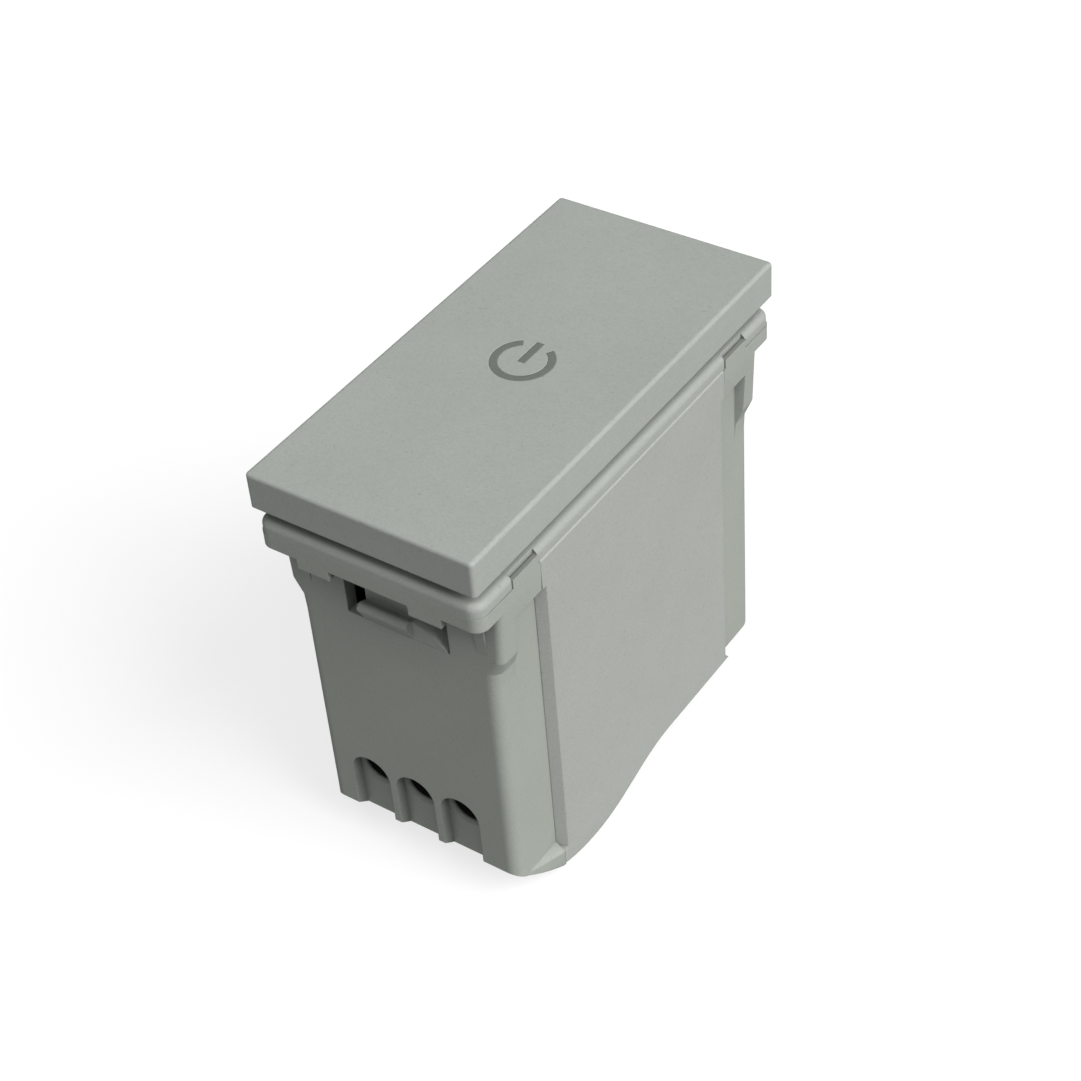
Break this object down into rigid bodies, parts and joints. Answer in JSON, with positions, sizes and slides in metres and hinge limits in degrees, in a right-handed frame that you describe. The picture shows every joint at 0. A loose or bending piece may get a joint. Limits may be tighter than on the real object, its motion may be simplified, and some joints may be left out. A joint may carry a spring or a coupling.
{
  "type": "modular wall push button",
  "caption": "Narrow modular wall push button with a flat key bearing a standby symbol, a snap-in flanged housing and rear screw terminals.",
  "frame": {"origin": "centre of the flange face that seats on the mounting frame", "axes": "+Z out of the key face, +Y along the long side towards the top of the symbol, +X across the width"},
  "size_m": [0.022, 0.045, 0.0426],
  "materials": {
    "key_grey": "fine matt moulded plastic",
    "bezel_grey": "fine matt moulded plastic",
    "body_grey": "matt moulded plastic",
    "cover_grey": "matt moulded plastic",
    "symbol_grey": "matt dark inlay",
    "inner_white": "satin acetal",
    "block_dark": "glass-filled insulator",
    "brass": "stamped strip",
    "cage_steel": "zinc plated",
    "screw_steel": "zinc plated",
    "spring_steel": "drawn wire",
    "silver": "silver alloy contact face"
  },
  "bodies": {
    "housing": {"housing": "body_grey", "bezel_cover": "bezel_grey", "side_cover_left": "cover_grey", "side_cover_right": "cover_grey", "contact_block": "block_dark", "break_strip": "brass", "make_strip": "brass", "common_strip": "brass", "break_contact": "silver", "make_contact": "silver", "pivot_pin": "screw_steel", "return_spring_near": "spring_steel", "return_spring_far": "spring_steel", "lever_spring": "spring_steel"},
    "key": {"key_cap": "key_grey", "symbol_inlay": "symbol_grey", "key_carrier": "inner_white", "plunger": "inner_white"},
    "lever": {"contact_lever": "brass", "moving_contact": "silver"},
    "latch_near": {"latch_near": "body_grey"},
    "latch_far": {"latch_far": "body_grey"},
    "screw_break": {"clamp_screw_break": "screw_steel"},
    "cage_break": {"clamp_cage_break": "cage_steel"},
    "screw_common": {"clamp_screw_common": "screw_steel"},
    "cage_common": {"clamp_cage_common": "cage_steel"},
    "screw_make": {"clamp_screw_make": "screw_steel"},
    "cage_make": {"clamp_cage_make": "cage_steel"}
  },
  "joints": [
    {"name": "key_press", "type": "slide", "parent": "housing", "child": "key", "axis": [0, 0, -1], "range_m": [0, 0.0009], "stiffness_N_per_m": 120, "springref_m": -0.002, "deforming": ["return_spring_near", "return_spring_far", "lever_spring"]},
    {"name": "lever_tilt", "type": "hinge", "parent": "housing", "child": "lever", "pos_m": [0, -0.006, -0.011], "axis": [-1, 0, 0], "range_deg": [0, 10.4]},
    {"name": "latch_near_flex", "type": "hinge", "parent": "housing", "child": "latch_near", "pos_m": [0.0011, -0.01805, -0.01405], "axis": [-1, 0, 0], "range_deg": [0, 8]},
    {"name": "latch_far_flex", "type": "hinge", "parent": "housing", "child": "latch_far", "pos_m": [0.0011, 0.01805, -0.01405], "axis": [1, 0, 0], "range_deg": [0, 8]},
    {"name": "screw_break_turn", "type": "hinge", "parent": "housing", "child": "screw_break", "pos_m": [-0.0052, -0.0128, -0.031], "axis": [0, 0, 1], "range_deg": [0, 1441]},
    {"name": "cage_break_slide", "type": "slide", "parent": "housing", "child": "cage_break", "axis": [0, 0, -1], "range_m": [0, 0.0018]},
    {"name": "screw_common_turn", "type": "hinge", "parent": "housing", "child": "screw_common", "pos_m": [-0.00045, -0.0128, -0.031], "axis": [0, 0, 1], "range_deg": [0, 1441]},
    {"name": "cage_common_slide", "type": "slide", "parent": "housing", "child": "cage_common", "axis": [0, 0, -1], "range_m": [0, 0.0018]},
    {"name": "screw_make_turn", "type": "hinge", "parent": "housing", "child": "screw_make", "pos_m": [0.0043, -0.0128, -0.031], "axis": [0, 0, 1], "range_deg": [0, 1441]},
    {"name": "cage_make_slide", "type": "slide", "parent": "housing", "child": "cage_make", "axis": [0, 0, -1], "range_m": [0, 0.0018]}
  ],
  "couplings": [
    {"joint": "lever_tilt", "follows": "key_press", "rad_per_m": 200},
    {"joint": "screw_break_turn", "follows": "cage_break_slide", "rad_per_m": 13963},
    {"joint": "screw_common_turn", "follows": "cage_common_slide", "rad_per_m": 13963},
    {"joint": "screw_make_turn", "follows": "cage_make_slide", "rad_per_m": 13963}
  ]
}
